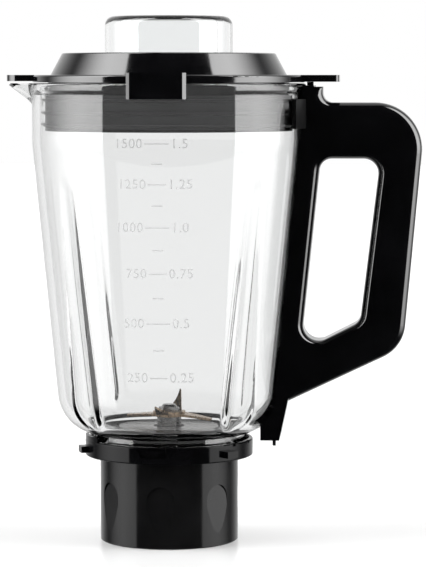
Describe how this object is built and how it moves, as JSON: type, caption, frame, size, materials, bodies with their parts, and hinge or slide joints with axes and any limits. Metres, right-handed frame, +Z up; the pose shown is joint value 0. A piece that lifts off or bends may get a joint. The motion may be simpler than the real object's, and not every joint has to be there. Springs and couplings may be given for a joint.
{
  "type": "blender jug attachment",
  "caption": "Fluted glass blender jug with clear measuring cap, plug-in lid, loop handle with lid interlock rod, and screw-on bayonet blade base.",
  "frame": {"origin": "on the jar's axis, in the plane of the skirt's foot, where the jug stands in its motor base", "axes": "+Z up along the jar's axis, +X towards the handle, -X towards the spout, -Y towards the graduated front"},
  "size_m": [0.2158, 0.1494, 0.2725],
  "materials": {
    "gloss_black": "gloss",
    "satin_black": "satin",
    "jar_glass": "clear",
    "clear_plastic": "clear",
    "silicone": "satin",
    "steel": "brushed",
    "blade_steel": "ground",
    "bronze": "sintered",
    "pad": "matt"
  },
  "bodies": {
    "base": {"base_collar": "gloss_black", "base_skirt": "satin_black", "bearing_housing": "satin_black", "blade_plate": "steel", "bearing_lower": "bronze", "bearing_upper": "bronze", "shaft_seal": "silicone", "base_screws": "steel"},
    "rotor": {"drive_shaft": "steel", "blade_hub": "steel", "blade_lower": "blade_steel", "blade_upper": "blade_steel", "blade_nut": "steel", "thrust_washer": "steel", "drive_coupling": "satin_black"},
    "gasket": {"jar_gasket": "silicone"},
    "jug": {"glass_jar": "jar_glass", "handle_spine": "gloss_black", "handle_grip": "gloss_black", "grip_cover": "gloss_black", "clamp_upper": "pad", "clamp_lower": "pad", "handle_screws": "steel", "interlock_spring": "steel"},
    "interlock": {"interlock_button": "satin_black", "interlock_rod": "steel", "interlock_foot": "satin_black"},
    "lid": {"lid_cover": "gloss_black", "lid_plug": "satin_black", "lid_seal": "silicone"},
    "cap": {"measuring_cap": "clear_plastic"}
  },
  "joints": [
    {"name": "blade_spin", "type": "hinge", "parent": "base", "child": "rotor", "pos_m": [0, 0, 0.03], "axis": [0, 0, 1], "continuous": true},
    {"name": "jar_turn", "type": "hinge", "parent": "base", "child": "gasket", "pos_m": [0, 0, 0.048], "axis": [0, 0, 1], "range_deg": [0, 120]},
    {"name": "jar_lift", "type": "slide", "parent": "gasket", "child": "jug", "axis": [0, 0, 1], "range_m": [0, 0.008]},
    {"name": "lid_lift", "type": "slide", "parent": "jug", "child": "lid", "axis": [0, 0, 1], "range_m": [0, 0.06]},
    {"name": "cap_lift", "type": "slide", "parent": "lid", "child": "cap", "axis": [0, 0, 1], "range_m": [0, 0.05]},
    {"name": "interlock_slide", "type": "slide", "parent": "jug", "child": "interlock", "axis": [0.1036, 0, 0.9946], "range_m": [0, 0.0044], "deforming": ["interlock_spring"]}
  ],
  "couplings": [
    {"joint": "jar_lift", "follows": "jar_turn", "m_per_rad": 0.0038197},
    {"joint": "interlock_slide", "follows": "lid_lift", "ratio": 0.073333}
  ]
}
